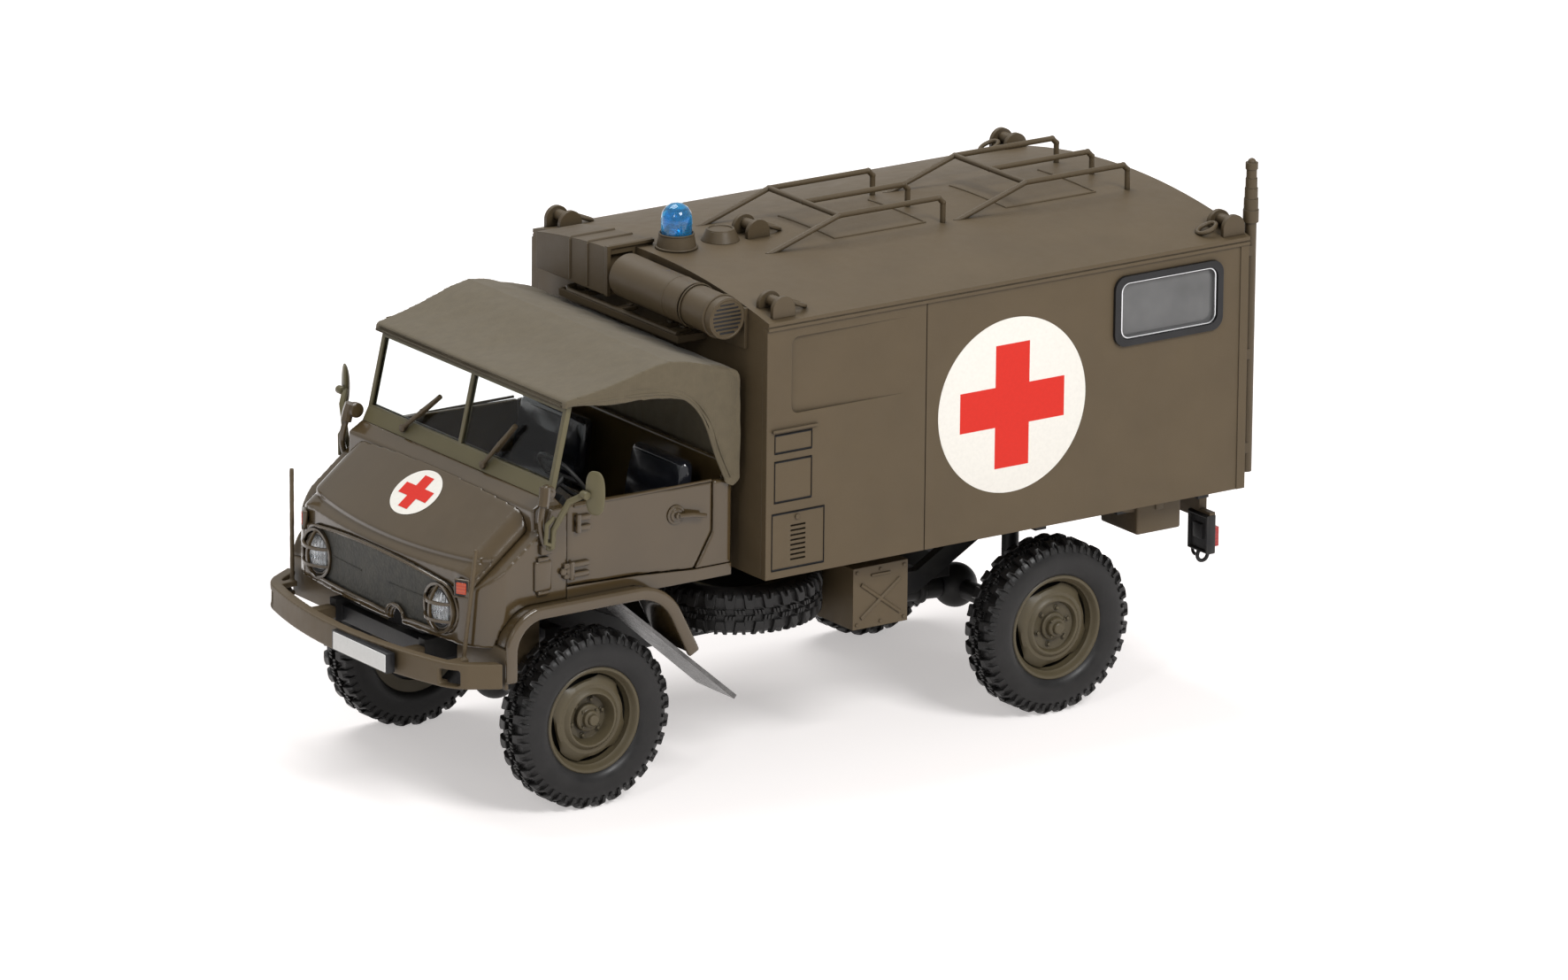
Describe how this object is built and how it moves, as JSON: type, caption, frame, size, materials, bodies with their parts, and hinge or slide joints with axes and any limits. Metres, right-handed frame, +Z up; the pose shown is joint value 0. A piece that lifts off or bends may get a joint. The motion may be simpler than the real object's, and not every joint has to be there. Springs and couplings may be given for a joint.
{
  "type": "military ambulance truck scale model",
  "caption": "Scale model of a short-bonnet four-wheel-drive army ambulance truck: canvas-topped cab, box body with red cross discs, wheels that roll.",
  "frame": {"origin": "centre of the footprint's bounding box, on the ground under the tyres", "axes": "+X towards the rear of the truck, +Y towards the truck's right side, +Z up"},
  "size_m": [0.1452, 0.0692, 0.0812],
  "materials": {
    "olive_paint": "satin olive brown",
    "chassis_black": "satin black",
    "engine_grey": "rough",
    "tyre_rubber": "matte black",
    "canvas": "matte olive canvas",
    "seat_vinyl": "black vinyl",
    "window_rubber": "satin black",
    "clear_glass": "clear",
    "lamp_glass": "clear ribbed",
    "amber_lens": "gloss",
    "blue_lens": "gloss translucent",
    "red_lens": "gloss",
    "plate_white": "blank satin",
    "flap_grey": "satin grey"
  },
  "bodies": {
    "truck": {"cab_nose": "olive_paint", "bonnet": "olive_paint", "cab_floor": "olive_paint", "cab_rear": "olive_paint", "doors": "olive_paint", "fenders": "olive_paint", "grille_panel": "olive_paint", "lamp_guards": "olive_paint", "windscreen_frame": "olive_paint", "front_bumper": "olive_paint", "mirrors": "olive_paint", "box_roof": "olive_paint", "box_side_left": "olive_paint", "box_side_right": "olive_paint", "side_covers": "olive_paint", "box_front": "olive_paint", "box_rear": "olive_paint", "rear_doors": "olive_paint", "box_floor": "olive_paint", "roof_caps": "olive_paint", "lifting_lugs": "olive_paint", "roof_racks": "olive_paint", "heater": "olive_paint", "air_housing": "olive_paint", "front_shelf": "olive_paint", "aerial_mast": "olive_paint", "rear_beam": "olive_paint", "tool_chest": "olive_paint", "fuel_tank": "olive_paint", "spare_rim": "olive_paint", "chassis_frame": "chassis_black", "front_axle": "chassis_black", "rear_axle": "chassis_black", "drive_train": "chassis_black", "dashboard": "chassis_black", "engine_block": "engine_grey", "spare_tyre": "tyre_rubber", "canvas_roof": "canvas", "seats": "seat_vinyl", "window_frames": "window_rubber", "windscreen_glass": "clear_glass", "window_glass": "clear_glass", "headlamps": "lamp_glass", "indicators": "amber_lens", "beacon_lens": "blue_lens", "tail_lamps": "red_lens", "number_plate": "plate_white", "mud_flaps": "flap_grey"},
    "wheel_front_left": {"tyre_front_left": "tyre_rubber", "rim_front_left": "olive_paint"},
    "wheel_front_right": {"tyre_front_right": "tyre_rubber", "rim_front_right": "olive_paint"},
    "wheel_rear_left": {"tyre_rear_left": "tyre_rubber", "rim_rear_left": "olive_paint"},
    "wheel_rear_right": {"tyre_rear_right": "tyre_rubber", "rim_rear_right": "olive_paint"}
  },
  "joints": [
    {"name": "front_left_wheel_spin", "type": "hinge", "parent": "truck", "child": "wheel_front_left", "pos_m": [-0.0441, -0.0234, 0.01337], "axis": [0, 1, 0], "continuous": true},
    {"name": "front_right_wheel_spin", "type": "hinge", "parent": "truck", "child": "wheel_front_right", "pos_m": [-0.0441, 0.0234, 0.01337], "axis": [0, 1, 0], "continuous": true},
    {"name": "rear_left_wheel_spin", "type": "hinge", "parent": "truck", "child": "wheel_rear_left", "pos_m": [0.03875, -0.0234, 0.01337], "axis": [0, 1, 0], "continuous": true},
    {"name": "rear_right_wheel_spin", "type": "hinge", "parent": "truck", "child": "wheel_rear_right", "pos_m": [0.03875, 0.0234, 0.01337], "axis": [0, 1, 0], "continuous": true}
  ]
}
